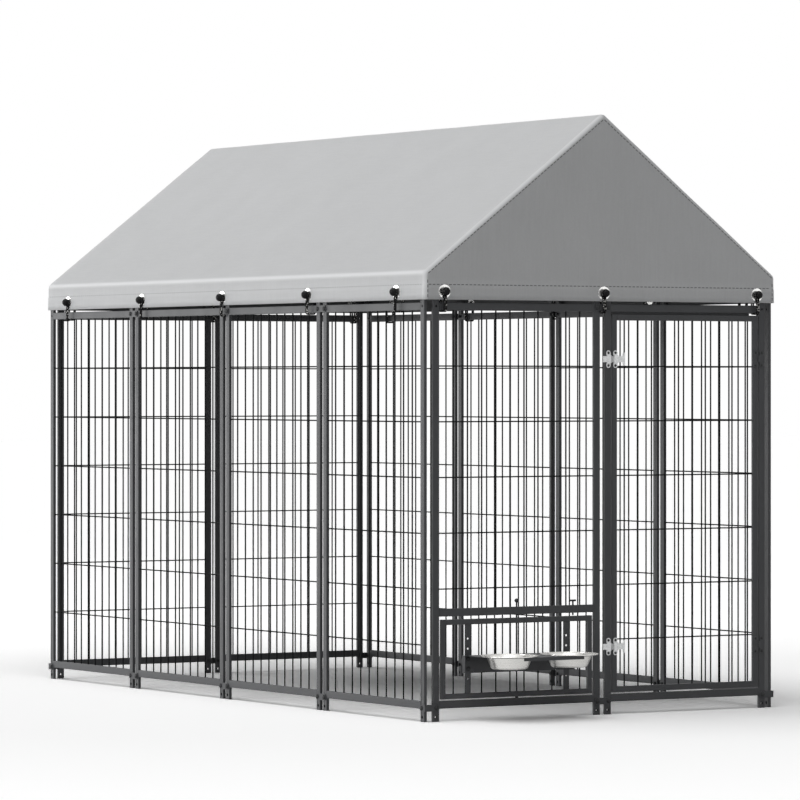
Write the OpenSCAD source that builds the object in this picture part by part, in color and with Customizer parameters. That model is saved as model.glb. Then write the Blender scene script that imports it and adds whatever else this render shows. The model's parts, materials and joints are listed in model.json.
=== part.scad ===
// Outdoor dog kennel run: twelve welded steel panels bolted round a rectangle,
// a hinged door with two slide latches, a swivelling feeder hatch with two bowls,
// and a fabric cover over a gabled pole frame, tied down with ball cords.
// Millimetres. The door end faces -Y and the run stands on Z = 0.

/* [Panels] */
// Width of every welded panel
panel_w = 584; // [540:1:640]
// Height of the upper edge of the top rail
wall_h = 1222; // [1180:1:1400]
// Clear height under the bottom rail
foot_h = 38; // [36:1:60]
// Length of each stile above the top rail
head_h = 38; // [36:1:44]
// Face width of the stile tube
stile_w = 22; // [20:0.5:26]
// Face height of the rail tube
rail_w = 23; // [20:0.5:26]
// Depth of every frame tube
tube_d = 10; // [9.5:0.5:14]
// Wall of every frame tube
tube_wall = 1.2; // [0.8:0.1:1.6]
// Rounding of the tube edges
tube_r = 1.8; // [0.6:0.1:2.4]
// Gap between neighbouring panels
panel_gap = 17; // [15:0.5:22]
// Setback of the long walls behind the end walls
end_setback = 5; // [2:0.5:8]

/* [Wire grid] */
// Diameter of the upright bars
bar_d = 4.5; // [3:0.1:5]
// Diameter of the level wires
wire_d = 4; // [3:0.1:4.4]
// Upright bars across one panel
bar_count = 10; // [10:1:10]
// Level wires up one panel
wire_count = 6; // [6:1:7]
// Gap left at a welded butt
weld_gap = 0.05; // [0.02:0.01:0.1]

/* [Panel joints] */
// Height of a link plate
plate_h = 20; // [16:1:22]
// Thickness of a link plate or bracket
plate_t = 3; // [2:0.5:3]
// Height of the foot joint bolts
low_joint_z = 41; // [38:0.5:46]
// Distance of the top joint bolts below the top of the rail
top_joint_drop = 11; // [10.5:0.5:12]
// Distance of the roof bracket bolts above the top of the rail
roof_bolt_rise = 18; // [15:0.5:20]
// Shank diameter of the joint bolts
bolt_d = 6; // [5:0.5:6]
// Radial clearance of a bolt in its hole
bolt_clear = 0.3; // [0.2:0.05:0.5]
// Head diameter of the joint bolts
head_d = 14; // [12:0.5:14]
// Head height of the joint bolts
head_t = 4.5; // [3.5:0.5:4.5]
// Width across the corners of the nuts
nut_d = 11.5; // [10.5:0.1:12]
// Thickness of the nuts
nut_t = 5; // [4:0.5:6]
// Length of bolt standing out of a nut
bolt_tail = 1; // [0.5:0.5:2]
// Share of the head diameter that rounds the bolt heads
head_dome = 0.8; // [0.6:0.05:1]
// Diameter of the ground stake holes
stake_d = 9; // [6:0.5:11]
// Height of the ground stake holes
stake_z = 14; // [10:0.5:18]

/* [Door] */
// Face width of the door tube
leaf_w = 18; // [17:0.5:20]
// Gap at the sides and foot of the door
door_gap = 4; // [3:0.5:5]
// Gap over the door
door_top_gap = 7.5; // [7:0.5:10]
// Height of the stop strip behind the top rail
stop_h = 22; // [20:0.5:24]
// Reach of the stop strip below the rail
stop_drop = 14; // [12:0.5:16]
// Thickness of the stop strip
stop_t = 2; // [1.5:0.1:3]
// Length left free at the hinge end of the stop strip
stop_end = 30; // [28:0.5:40]
// Height of the lower hinge
low_hinge_z = 193; // [150:1:260]
// Height of the upper hinge
high_hinge_z = 1060; // [980:1:1090]
// Height of a hinge leaf
hinge_h = 52; // [46:1:60]
// Thickness of a hinge leaf
hinge_t = 2; // [1.5:0.1:2.5]
// Margin between a hinge leaf and the edge of its tube
hinge_margin = 1.5; // [1:0.1:2.5]
// Radius of the hinge knuckles
knuckle_r = 3.2; // [3:0.1:3.6]
// Height of one hinge knuckle
knuckle_h = 6.4; // [5:0.1:8]
// Gap between the hinge knuckles
knuckle_gap = 0.3; // [0.2:0.1:0.5]
// Diameter of the hinge pins
hinge_pin_d = 3; // [2.5:0.1:3.4]
// Radial running clearance of pins and rods
run_clear = 0.08; // [0.05:0.01:0.1]

/* [Latch] */
// Height of the lower latch
low_latch_z = 202; // [150:1:260]
// Height of the upper latch
high_latch_z = 1058; // [980:1:1090]
// Width of a latch strap
strap_w = 15; // [13:0.5:15]
// Sheet thickness of a latch strap
strap_t = 2; // [1.5:0.1:2.2]
// Reach of the strike tab beyond its strap
tab_l = 15; // [7:0.5:16]
// Distance between the two straps of a latch
strap_pitch = 25; // [24.5:0.5:26]
// Height of the sliding bolt
slide_h = 18; // [15:0.5:19]
// Thickness of the sliding bolt
slide_t = 3.6; // [3:0.1:4]
// Clearance round the sliding bolt
slide_clear = 0.6; // [0.4:0.1:0.7]
// Travel of the sliding bolt
slide_throw = 18; // [16:1:18]
// Width of the thumb plate on the sliding bolt
grip_w = 7; // [6:0.5:12]
// Height of the thumb plate
grip_h = 40; // [34:0.5:44]
// Corner cut of the thumb plate
grip_cut = 3; // [2:0.5:3.5]
// Taper from the bolt to the thumb plate
grip_taper = 2; // [1:0.5:2.5]
// Diameter of the padlock hole
padlock_d = 5; // [4:0.5:8]
// Distance of the fixing screws from the middle of a strap or hinge
screw_z = 19; // [18:0.5:20]
// Shank diameter of the fixing screws
screw_d = 4; // [3:0.5:4]
// Head diameter of the fixing screws
screw_head_d = 8; // [6:0.5:9]
// Head height of the fixing screws
screw_head_t = 1.8; // [1.4:0.1:2.2]
// Length of the fixing screws under the head
screw_l = 6; // [5:0.5:6.5]
// Radial clearance of a fixing screw in its hole
screw_clear = 0.1; // [0.05:0.05:0.2]

/* [Feeder hatch] */
// Height of the lower edge of the rail over the hatch
mid_rail_z = 306; // [290:1:330]
// Gap between that rail and the hatch
hatch_top_gap = 9; // [8:0.5:10]
// Gap beside the hatch
hatch_side_gap = 6; // [4:0.5:8]
// Gap under the hatch
hatch_low_gap = 3.5; // [3:0.5:5]
// Face width of the hatch tube
hatch_w = 16; // [14:0.5:18]
// Diameter of the pivot rod
rod_d = 5; // [4:0.5:6]
// Diameter of the ball on the pivot rod
knob_d = 12.5; // [10:0.5:15]
// Height of the ball centre over the rail
knob_rise = 18; // [10:1:22]
// Length of the pivot rod inside the bottom rail
rod_tail = 6; // [4:0.5:10]
// Diameter of the locking pin
lock_d = 5; // [4:0.5:6]
// Distance of the locking pin from the pivot
lock_x = 198; // [194:0.5:202]
// Length of the locking pin crossbar
lock_bar = 20; // [14:1:24]
// Diameter of the locking pin crossbar
lock_bar_d = 5.6; // [5.2:0.1:7]
// Height of the crossbar centre over the rail
lock_rise = 13.5; // [13:0.5:20]
// Clear height of the raised locking pin over the hatch
lock_lift = 1.5; // [1:0.5:3]
// Width of the drilled height bars
height_bar_w = 20; // [18:0.5:24]
// Thickness of the drilled height bars
height_bar_t = 3; // [2:0.5:4]
// Height of the uppermost hole
height_hole_z = 240; // [238:0.5:244]
// Pitch of the holes
height_pitch = 29.5; // [28:0.5:30]
// Diameter of the holes
height_hole_d = 6.6; // [6.6:0.1:8]
// Holes in one height bar
height_holes = 5; // [5:1:5]

/* [Bowls] */
// Top face of the bowl shelf below the uppermost hole
shelf_drop = 49; // [48:0.5:50]
// Sheet thickness of the shelf
shelf_t = 1.5; // [1:0.1:2]
// Height of the shelf back plate
shelf_back_h = 52; // [50:0.5:54]
// Height of the shelf front lip
shelf_lip_h = 10; // [6:0.5:14]
// Margin of the shelf beyond the height bars
shelf_margin = 10; // [8:0.5:14]
// Depth of the shelf end cheeks
shelf_cheek = 15; // [10:0.5:24]
// Distance of the bowls from the pivot
bowl_x = 104; // [100:0.5:108]
// Distance of the bowls in front of the panel
bowl_out = 119; // [112:0.5:122]
// Radius of a bowl rim
rim_r = 85; // [82:0.5:88]
// Overlap of a bowl rim beyond the shelf edge
rim_lap = 5; // [3:0.5:8]
// Radius of a bowl under its rim
bowl_r = 68; // [62:0.5:70]
// Radius of a bowl base
base_r = 45; // [38:0.5:52]
// Depth of a bowl
bowl_h = 38; // [34:0.5:44]
// Sheet thickness of a bowl
bowl_t = 1.2; // [1:0.1:1.5]
// Radius of the round foot of a bowl
bowl_foot_r = 11; // [8:0.5:14]
// Radius of the rolled rim edge
rim_roll = 1.8; // [1.2:0.1:2.4]
// Gap between a bowl and its hole
bowl_gap = 1.5; // [1:0.1:3]

/* [Roof frame] */
// Rise of the eave edge over the top rail
eave_rise = 89; // [87:1:110]
// Rise of the ridge over the eave edge
ridge_rise = 479; // [380:1:560]
// Diameter of the roof poles
pole_d = 19; // [16:0.5:20]
// Wall of the roof poles
pole_wall = 1.2; // [1:0.1:2]
// Wall of the connector sockets
socket_wall = 1.6; // [1.2:0.1:2]
// Length of the connector sockets
socket_l = 45; // [40:1:60]
// Radial gap of a pole in its socket
pole_clear = 0.1; // [0.05:0.05:0.2]
// Radius of a hub ball beyond its sockets
hub_rim = 1; // [0.5:0.1:1.5]
// Distance of a pole end from the hub ball
pole_stop = 2; // [1:0.5:4]
// Height of the bracket legs over the top rail
leg_rise = 8; // [6:0.5:10]
// Height of the bracket legs over the stiles
leg_over = 3; // [2:0.5:5]
// Depth of the web over the fork of a middle bracket
fork_web = 8; // [6:0.5:10]
// Free space beside the nuts in a corner bracket
nut_room = 3; // [2:0.5:4]

/* [Cover] */
// Reach of the cover beyond the walls
overhang = 7; // [7:0.5:10]
// Thickness of the cover fabric
cover_t = 1.5; // [1:0.1:1.5]
// Drop of the skirt below the eave edge
skirt_h = 81; // [78:0.5:84]
// Gap between the cover and what it lies on
seat_gap = 0.4; // [0.3:0.1:0.5]

/* [Ball cords] */
// Place of the outer cords of a long wall, in bar pitches from the end stile
outer_cord = 2.5; // [2.4:0.05:2.6]
// Place of the next cords, in bar pitches from the first stile of their panel
inner_cord = 0.78; // [0.6:0.02:0.78]
// Distance of the outer cords from the ends of an end wall
end_margin = 62; // [58:0.5:66]
// Outer diameter of an eyelet
eyelet_d = 40; // [34:0.5:42]
// Bore of an eyelet
eyelet_bore = 19; // [17:0.5:21]
// Thickness of an eyelet flange
eyelet_t = 1.2; // [0.8:0.1:1.4]
// Height of the eyelets over the hem
eyelet_rise = 24; // [23:0.5:26]
// Diameter of the balls
ball_d = 25; // [23:0.5:28]
// Diameter of the cord
cord_d = 5; // [4:0.1:5]
// Distance between the two strands
strand_pitch = 7; // [6:0.1:7]
// Bend radius of the cord
cord_bend = 5; // [4:0.1:5]

/* [Hidden] */
$fn = 48;
side_count = 4;
end_count = 2;
cut = 1;
wall_inset = tube_d + panel_gap;
kennel_w = 2 * wall_inset + end_count * panel_w + (end_count - 1) * panel_gap;
kennel_l = 2 * end_setback + side_count * panel_w + (side_count - 1) * panel_gap;
stile_l = wall_h + head_h;
low_rail_top = foot_h + rail_w;
top_rail_z = wall_h - rail_w;
top_joint_z = wall_h - top_joint_drop;
roof_bolt_z = wall_h + roof_bolt_rise;
opening_w = panel_w - 2 * stile_w;
bar_pitch = opening_w / (bar_count + 1);
wire_pitch = (top_rail_z - low_rail_top) / (wire_count + 1);
wire_zs = [for (i = [1 : wire_count]) low_rail_top + i * wire_pitch];
grid_start = (tube_d - bar_d - weld_gap - wire_d) / 2;
bar_y = grid_start + bar_d / 2;
wire_y = grid_start + bar_d + weld_gap + wire_d / 2;
bolt_r = bolt_d / 2;
bolt_hole_r = bolt_r + bolt_clear;
joint_reach = (panel_gap + stile_w) / 2;
stile_mid_end = wall_inset + stile_w / 2;
stile_mid_side = end_setback + stile_w / 2;

door_x = wall_inset + panel_w + panel_gap;
leaf_x = door_x + stile_w + door_gap;
leaf_len = opening_w - 2 * door_gap;
leaf_z = low_rail_top + door_gap;
leaf_top = top_rail_z - door_top_gap;
hinge_x = leaf_x + leaf_len + door_gap / 2;
hinge_y = -knuckle_r;
hinge_zs = [low_hinge_z, high_hinge_z];
hinge_screw_x = door_gap / 2 + leaf_w / 2;
hinge_reach = door_gap / 2 + leaf_w - hinge_margin;
barrel_h = 3 * knuckle_h + 2 * knuckle_gap;
pin_bore_r = hinge_pin_d / 2 + run_clear;
latch_x = leaf_x - door_gap / 2;
latch_zs = [low_latch_z, high_latch_z];
strap_lobe_r = strap_w / 2;
channel_h = slide_h + 2 * slide_clear;
channel_d = slide_t + 2 * slide_clear;
screw_r = screw_d / 2;
screw_hole_r = screw_r + screw_clear;

pivot_x = wall_inset + panel_w / 2;
pivot_y = tube_d / 2;
mid_rail_top = mid_rail_z + rail_w;
hatch_z = low_rail_top + hatch_low_gap;
hatch_top = mid_rail_z - hatch_top_gap;
hatch_len = opening_w - 2 * hatch_side_gap;
height_bar_x = (bar_count - 3) / 2 * bar_pitch;
shelf_top = height_hole_z - shelf_drop;
shelf_half = height_bar_x + height_bar_w / 2 + shelf_margin;
tray_r = rim_r - rim_lap;
bowl_hole_r = bowl_r + bowl_gap;
shelf_bolt_zs = [height_hole_z - 2 * height_pitch, height_hole_z - 3 * height_pitch];
rod_bore_r = rod_d / 2 + run_clear;
lock_bore_r = lock_d / 2 + run_clear;
lock_tip = hatch_top + lock_lift;

eave_z = wall_h + eave_rise;
ridge_z = eave_z + ridge_rise;
hem_z = eave_z - skirt_h;
slope_tan = ridge_rise / (kennel_w / 2 + overhang);
slope_a = atan(slope_tan);
pole_r = pole_d / 2;
socket_r = pole_r + pole_clear + socket_wall;
hub_r = socket_r + hub_rim;
hub_in = cover_t + seat_gap + hub_r;
hub_x = hub_in - overhang;
hub_eave_z = eave_z + hub_in * slope_tan - hub_in / cos(slope_a);
hub_ridge_z = ridge_z - hub_in / cos(slope_a);
rafter_l = (kennel_w / 2 - hub_x) / cos(slope_a);
bay_l = kennel_l / 2 - hub_x;
pole_start = hub_r + pole_stop;
skin_drop = cover_t / cos(slope_a);
leg_z = wall_h + leg_rise;
leg_top = stile_l + leg_over;
roof_ys = [hub_x, kennel_l / 2, kennel_l - hub_x];

eyelet_z = hem_z + eyelet_rise;
eyelet_r = eyelet_d / 2;
eyelet_bore_r = eyelet_bore / 2;
eyelet_hole_r = eyelet_bore_r + eyelet_t + weld_gap;
ball_r = ball_d / 2;
cord_r = cord_d / 2;
ball_seat = sqrt(ball_r * ball_r - eyelet_bore_r * eyelet_bore_r);
ball_out = overhang + eyelet_t + seat_gap + ball_seat;
cord_front = overhang + eyelet_t + seat_gap + cord_r;
cord_back = tube_d + plate_t + seat_gap + cord_r;
cord_low_z = top_rail_z - seat_gap - cord_r;
outer_cord_y = end_setback + stile_w + outer_cord * bar_pitch;
inner_cord_y = end_setback + panel_w + panel_gap + stile_w + inner_cord * bar_pitch;
side_cord_ys = [outer_cord_y, inner_cord_y, kennel_l / 2, kennel_l - inner_cord_y, kennel_l - outer_cord_y];
end_cord_pitch = (kennel_w - 2 * end_margin) / 2;

front_reach = -(bowl_out + rim_r);
back_reach = kennel_l + ball_out + ball_r;
mid_y = (front_reach + back_reach) / 2;

side_joint_ys = [for (i = [1 : side_count - 1]) end_setback + i * (panel_w + panel_gap) - panel_gap / 2];
joint_places = concat(
    [[kennel_w / 2, 0, 0], [kennel_w / 2, kennel_l, 180]],
    [for (y = side_joint_ys) [0, y, -90]],
    [for (y = side_joint_ys) [kennel_w, y, 90]]
);
cord_places = concat(
    [for (i = [0 : 2]) [end_margin + i * end_cord_pitch, 0, 0]],
    [for (i = [0 : 2]) [end_margin + i * end_cord_pitch, kennel_l, 180]],
    [for (y = side_cord_ys) [0, y, -90]],
    [for (y = side_cord_ys) [kennel_w, y, 90]]
);

steel_grey = [0.24, 0.25, 0.26];
zinc_grey = [0.72, 0.74, 0.76];
bowl_steel = [0.82, 0.83, 0.85];
pole_grey = [0.62, 0.64, 0.66];
fabric_grey = [0.74, 0.75, 0.76];
trim_black = [0.08, 0.08, 0.09];

// Places the run so that its bounding box stands centred on the origin.
module placed() {
    translate([-kennel_w / 2, -mid_y, 0]) children();
}

// Turns a piece drawn on the front wall round to a place on any wall.
module at_place(p) {
    translate([p[0], p[1], 0]) rotate([0, 0, p[2]]) children();
}

// Repeats a piece drawn at the front left corner at all four corners.
module at_corners() {
    for (mx = [0, 1], my = [0, 1])
        translate([mx * kennel_w, my * kennel_l, 0]) mirror([mx, 0, 0]) mirror([0, my, 0]) children();
}

// A level drilling from the front to the back.
module drill_y(x, z, r, y0, y1) {
    translate([x, y0, z]) rotate([-90, 0, 0]) cylinder(r = r, h = y1 - y0);
}

module tube_section(w, d) {
    difference() {
        union() {
            translate([tube_r, 0]) square([w - 2 * tube_r, d]);
            translate([0, tube_r]) square([w, d - 2 * tube_r]);
            for (x = [tube_r, w - tube_r], y = [tube_r, d - tube_r]) translate([x, y]) circle(tube_r);
        }
        translate([tube_wall, tube_wall]) square([w - 2 * tube_wall, d - 2 * tube_wall]);
    }
}

module upright_tube(x, z, w, h) {
    translate([x, 0, z]) linear_extrude(h) tube_section(w, tube_d);
}

module level_tube(x, z, w, l) {
    translate([x + weld_gap, 0, z]) rotate([90, 0, 90])
        linear_extrude(l - 2 * weld_gap) tube_section(tube_d, w);
}

module bar(x, z0, z1) {
    translate([x, bar_y, z0 + weld_gap]) cylinder(d = bar_d, h = z1 - z0 - 2 * weld_gap);
}

module wire(x0, x1, z) {
    translate([x0 + weld_gap, wire_y, z]) rotate([0, 90, 0])
        cylinder(d = wire_d, h = x1 - x0 - 2 * weld_gap);
}

module bars(mid_x, z0, z1) {
    for (i = [1 : bar_count]) bar(mid_x + (i - (bar_count + 1) / 2) * bar_pitch, z0, z1);
}

// A stile with its stake hole and its joint bolt holes.
module stile(x) {
    difference() {
        upright_tube(x, 0, stile_w, stile_l);
        drill_y(x + stile_w / 2, stake_z, stake_d / 2, -cut, tube_d + cut);
        for (z = [low_joint_z, top_joint_z, roof_bolt_z])
            drill_y(x + stile_w / 2, z, bolt_hole_r, -cut, tube_d + cut);
    }
}

module panel_rails() {
    level_tube(stile_w, foot_h, rail_w, opening_w);
    level_tube(stile_w, top_rail_z, rail_w, opening_w);
}

module plain_panel() {
    stile(0);
    stile(panel_w - stile_w);
    panel_rails();
    bars(panel_w / 2, low_rail_top, top_rail_z);
    for (z = wire_zs) wire(stile_w, panel_w - stile_w, z);
}

// Wall panels count from the front on the long walls and from the left on the back wall.
module left_wall_panel(i) {
    color(steel_grey) placed()
        at_place([0, end_setback + i * panel_w + (i - 1) * panel_gap, -90]) plain_panel();
}

module right_wall_panel(i) {
    color(steel_grey) placed()
        at_place([kennel_w, end_setback + (i - 1) * (panel_w + panel_gap), 90]) plain_panel();
}

module back_wall_panel(i) {
    color(steel_grey) placed()
        at_place([wall_inset + i * panel_w + (i - 1) * panel_gap, kennel_l, 180]) plain_panel();
}

// Front panel whose lower bay holds the swivelling feeder hatch.
module feeder_panel() {
    color(steel_grey) placed() {
        translate([wall_inset, 0, 0]) {
            stile(0);
            stile(panel_w - stile_w);
            level_tube(stile_w, top_rail_z, rail_w, opening_w);
            bars(panel_w / 2, mid_rail_top, top_rail_z);
            for (z = wire_zs) if (z > mid_rail_top + wire_d) wire(stile_w, panel_w - stile_w, z);
        }
        difference() {
            translate([wall_inset, 0, 0]) level_tube(stile_w, mid_rail_z, rail_w, opening_w);
            translate([pivot_x, pivot_y, mid_rail_z - cut]) cylinder(r = rod_bore_r, h = rail_w + 2 * cut);
            translate([pivot_x + lock_x, pivot_y, mid_rail_z - cut])
                cylinder(r = lock_bore_r, h = rail_w + 2 * cut);
        }
        difference() {
            translate([wall_inset, 0, 0]) level_tube(stile_w, foot_h, rail_w, opening_w);
            translate([pivot_x, pivot_y, low_rail_top - 2 * tube_wall])
                cylinder(r = rod_bore_r, h = 4 * tube_wall);
        }
    }
}

// Front panel that frames the doorway.
module door_frame() {
    color(steel_grey) placed() {
        difference() {
            translate([door_x, 0, 0]) stile(0);
            for (z = latch_zs, s = [-1, 1])
                drill_y(latch_x - strap_pitch / 2, z + s * screw_z, screw_hole_r, -cut, tube_d / 2);
        }
        difference() {
            translate([door_x, 0, 0]) stile(panel_w - stile_w);
            for (z = hinge_zs, s = [-1, 1])
                drill_y(hinge_x + hinge_screw_x, z + s * screw_z, screw_hole_r, -cut, tube_d / 2);
        }
        translate([door_x, 0, 0]) panel_rails();
        door_stop();
    }
}

// Flat strip behind the top rail that the leaf closes against.
module door_stop() {
    translate([door_x + stile_w + weld_gap, tube_d + weld_gap, top_rail_z - stop_drop])
        cube([opening_w - stop_end, stop_t, stop_h]);
}

module door_leaf() {
    right_x = leaf_x + leaf_len - leaf_w;
    color(steel_grey) placed() {
        difference() {
            upright_tube(leaf_x, leaf_z, leaf_w, leaf_top - leaf_z);
            for (z = latch_zs, s = [-1, 1])
                drill_y(latch_x + strap_pitch / 2, z + s * screw_z, screw_hole_r, -cut, tube_d / 2);
        }
        difference() {
            upright_tube(right_x, leaf_z, leaf_w, leaf_top - leaf_z);
            for (z = hinge_zs, s = [-1, 1])
                drill_y(hinge_x - hinge_screw_x, z + s * screw_z, screw_hole_r, -cut, tube_d / 2);
        }
        level_tube(leaf_x + leaf_w, leaf_z, leaf_w, leaf_len - 2 * leaf_w);
        level_tube(leaf_x + leaf_w, leaf_top - leaf_w, leaf_w, leaf_len - 2 * leaf_w);
        bars(leaf_x + leaf_len / 2, leaf_z + leaf_w, leaf_top - leaf_w);
        for (z = wire_zs) wire(leaf_x + leaf_w, right_x, z);
    }
}

// Plate with a round lobe at each end, cut for two fixing screws.
module lobed_plate(half_h, lobe_r, t) {
    difference() {
        rotate([90, 0, 0]) linear_extrude(t) union() {
            translate([-lobe_r, lobe_r - half_h]) square([2 * lobe_r, 2 * (half_h - lobe_r)]);
            for (s = [-1, 1]) translate([0, s * (half_h - lobe_r)]) circle(lobe_r);
        }
        for (s = [-1, 1]) drill_y(0, s * screw_z, screw_hole_r, -t - cut, cut);
    }
}

// One leaf of a hinge: side 1 is on the frame with the outer knuckles, side -1 on the door.
module hinge_leaf(side) {
    lobe_r = hinge_reach - hinge_screw_x;
    outer_z = knuckle_h / 2 + knuckle_gap;
    knuckle_zs = side > 0 ? [outer_z, -outer_z - knuckle_h] : [-knuckle_h / 2];
    difference() {
        union() {
            translate([side * hinge_screw_x, 0, 0]) lobed_plate(hinge_h / 2, lobe_r, hinge_t);
            for (k = knuckle_zs) translate([side > 0 ? 0 : -hinge_screw_x, -hinge_t, k])
                cube([hinge_screw_x, hinge_t, knuckle_h]);
            for (k = knuckle_zs) translate([0, hinge_y, k]) cylinder(r = knuckle_r, h = knuckle_h);
        }
        translate([0, hinge_y, -hinge_h]) cylinder(r = pin_bore_r, h = 2 * hinge_h);
    }
}

module placed_hinge_leaf(z, side) {
    color(steel_grey) placed() translate([hinge_x, 0, z]) hinge_leaf(side);
}

module hinge_pins() {
    color(trim_black) placed() for (z = hinge_zs)
        translate([hinge_x, hinge_y, z - barrel_h / 2]) cylinder(d = hinge_pin_d, h = barrel_h);
}

// Pressed strap: two screwed lobes and a raised bridge over the sliding bolt.
module strap(tab) {
    half_h = hinge_h / 2;
    wall_z = channel_h / 2;
    difference() {
        union() {
            lobed_plate(half_h, strap_lobe_r, strap_t);
            translate([-strap_lobe_r, -channel_d - strap_t, -wall_z - strap_t])
                cube([strap_w, channel_d + strap_t, channel_h + 2 * strap_t]);
        }
        translate([-strap_w, -channel_d, -wall_z]) cube([2 * strap_w, channel_d + cut, channel_h]);
    }
    if (tab)
        translate([-strap_lobe_r - tab_l, -channel_d - strap_t, -slide_h / 2])
            cube([tab_l + strap_t, strap_t, slide_h]);
}

module latch_keeper(z) {
    color(zinc_grey) placed() translate([latch_x - strap_pitch / 2, 0, z]) strap(true);
}

module latch_guide(z) {
    color(zinc_grey) placed() translate([latch_x + strap_pitch / 2, 0, z]) strap(false);
}

// Sliding bolt drawn back, with its flared thumb plate and padlock hole.
module latch_bolt(z) {
    nose_x = latch_x;
    grip_x = latch_x + strap_pitch / 2 + strap_lobe_r + slide_throw + slide_clear;
    neck_half = slide_h / 2;
    grip_half = grip_h / 2;
    flat_half = grip_half - grip_cut;
    color(zinc_grey) placed() translate([0, -slide_clear, z]) difference() {
        rotate([90, 0, 0]) linear_extrude(slide_t) union() {
            translate([nose_x, -neck_half]) square([grip_x + cut - nose_x, slide_h]);
            translate([grip_x, 0]) polygon([
                [0, -neck_half - grip_taper], [grip_taper, -grip_half], [grip_w - grip_cut, -grip_half],
                [grip_w, -flat_half], [grip_w, flat_half],
                [grip_w - grip_cut, grip_half], [grip_taper, grip_half], [0, neck_half + grip_taper]
            ]);
        }
        drill_y(nose_x + slide_throw, 0, padlock_d / 2, -slide_t - cut, cut);
    }
}

// Fixing screw with a low domed head, its seat at Y = 0.
module screw() {
    rotate([90, 0, 0]) rotate_extrude() union() {
        translate([0, -screw_l]) square([screw_r, screw_l]);
        intersection() {
            square([screw_head_d / 2, screw_head_t]);
            translate([0, screw_head_t - screw_head_d]) circle(screw_head_d);
        }
    }
}

module frame_screws() {
    color(trim_black) placed() for (s = [-1, 1]) {
        for (z = latch_zs) translate([latch_x - strap_pitch / 2, -strap_t, z + s * screw_z]) screw();
        for (z = hinge_zs) translate([hinge_x + hinge_screw_x, -hinge_t, z + s * screw_z]) screw();
    }
}

module door_screws() {
    color(trim_black) placed() for (s = [-1, 1]) {
        for (z = latch_zs) translate([latch_x + strap_pitch / 2, -strap_t, z + s * screw_z]) screw();
        for (z = hinge_zs) translate([hinge_x - hinge_screw_x, -hinge_t, z + s * screw_z]) screw();
    }
}

// Swivelling hatch: the drilled height bars take the place of the second and ninth bars.
module hatch_frame() {
    x0 = pivot_x - hatch_len / 2;
    inner = hatch_len - 2 * hatch_w;
    color(steel_grey) placed() {
        upright_tube(x0, hatch_z, hatch_w, hatch_top - hatch_z);
        upright_tube(x0 + hatch_len - hatch_w, hatch_z, hatch_w, hatch_top - hatch_z);
        difference() {
            level_tube(x0 + hatch_w, hatch_top - hatch_w, hatch_w, inner);
            translate([pivot_x, pivot_y, hatch_top - hatch_w - cut])
                cylinder(r = rod_bore_r, h = hatch_w + 2 * cut);
            for (s = [-1, 1]) translate([pivot_x + s * lock_x, pivot_y, hatch_top - 2 * tube_wall])
                cylinder(r = lock_bore_r, h = 4 * tube_wall);
        }
        difference() {
            level_tube(x0 + hatch_w, hatch_z, hatch_w, inner);
            translate([pivot_x, pivot_y, hatch_z - cut]) cylinder(r = rod_bore_r, h = hatch_w + 2 * cut);
        }
        for (i = [1 : bar_count]) if (i != 2 && i != bar_count - 1)
            bar(pivot_x + (i - (bar_count + 1) / 2) * bar_pitch, hatch_z + hatch_w, hatch_top - hatch_w);
    }
}

module height_bar(side) {
    x = pivot_x + side * height_bar_x;
    z0 = hatch_z + hatch_w + weld_gap;
    z1 = hatch_top - hatch_w - weld_gap;
    color(steel_grey) placed() difference() {
        translate([x - height_bar_w / 2, 0, z0]) cube([height_bar_w, height_bar_t, z1 - z0]);
        for (i = [0 : height_holes - 1])
            drill_y(x, height_hole_z - i * height_pitch, height_hole_d / 2, -cut, height_bar_t + cut);
    }
}

// Folded shelf: back plate with end cheeks, a tray with two round holes and a front lip.
module bowl_shelf() {
    tray_half = bowl_x + tray_r;
    front = bowl_out + tray_r;
    color(steel_grey) placed() translate([pivot_x, 0, shelf_top]) {
        difference() {
            translate([-shelf_half, -shelf_t, -shelf_back_h]) cube([2 * shelf_half, shelf_t, shelf_back_h]);
            for (s = [-1, 1], z = shelf_bolt_zs)
                drill_y(s * height_bar_x, z - shelf_top, height_hole_d / 2, -shelf_t - cut, cut);
        }
        for (s = [0, 1]) mirror([s, 0, 0]) translate([shelf_half - shelf_t, -shelf_cheek, -shelf_back_h])
            cube([shelf_t, shelf_cheek, shelf_back_h]);
        translate([0, 0, -shelf_t]) linear_extrude(shelf_t) difference() {
            union() {
                translate([-shelf_half, -shelf_cheek]) square([2 * shelf_half, shelf_cheek]);
                translate([-tray_half, -bowl_out]) square([2 * tray_half, bowl_out]);
                translate([-bowl_x, -front]) square([2 * bowl_x, front]);
                for (s = [-1, 1]) translate([s * bowl_x, -bowl_out]) circle(tray_r, $fn = 96);
            }
            for (s = [-1, 1]) translate([s * bowl_x, -bowl_out]) circle(bowl_hole_r, $fn = 96);
        }
        translate([-bowl_x, -front, -shelf_lip_h]) cube([2 * bowl_x, shelf_t, shelf_lip_h]);
    }
}

// Short bolt with a domed head and a nut, its seat at Y = 0 and its grip behind.
module bolt(grip, length) {
    rotate([90, 0, 0]) rotate_extrude() union() {
        translate([0, -grip - length]) square([bolt_r, grip + length]);
        intersection() {
            square([head_d / 2, head_t]);
            translate([0, head_t - head_dome * head_d]) circle(head_dome * head_d);
        }
    }
}

module nut() {
    rotate([-90, 0, 0]) difference() {
        cylinder(d = nut_d, h = nut_t, $fn = 6);
        translate([0, 0, -cut]) cylinder(r = bolt_r + weld_gap, h = nut_t + 2 * cut);
    }
}

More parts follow.
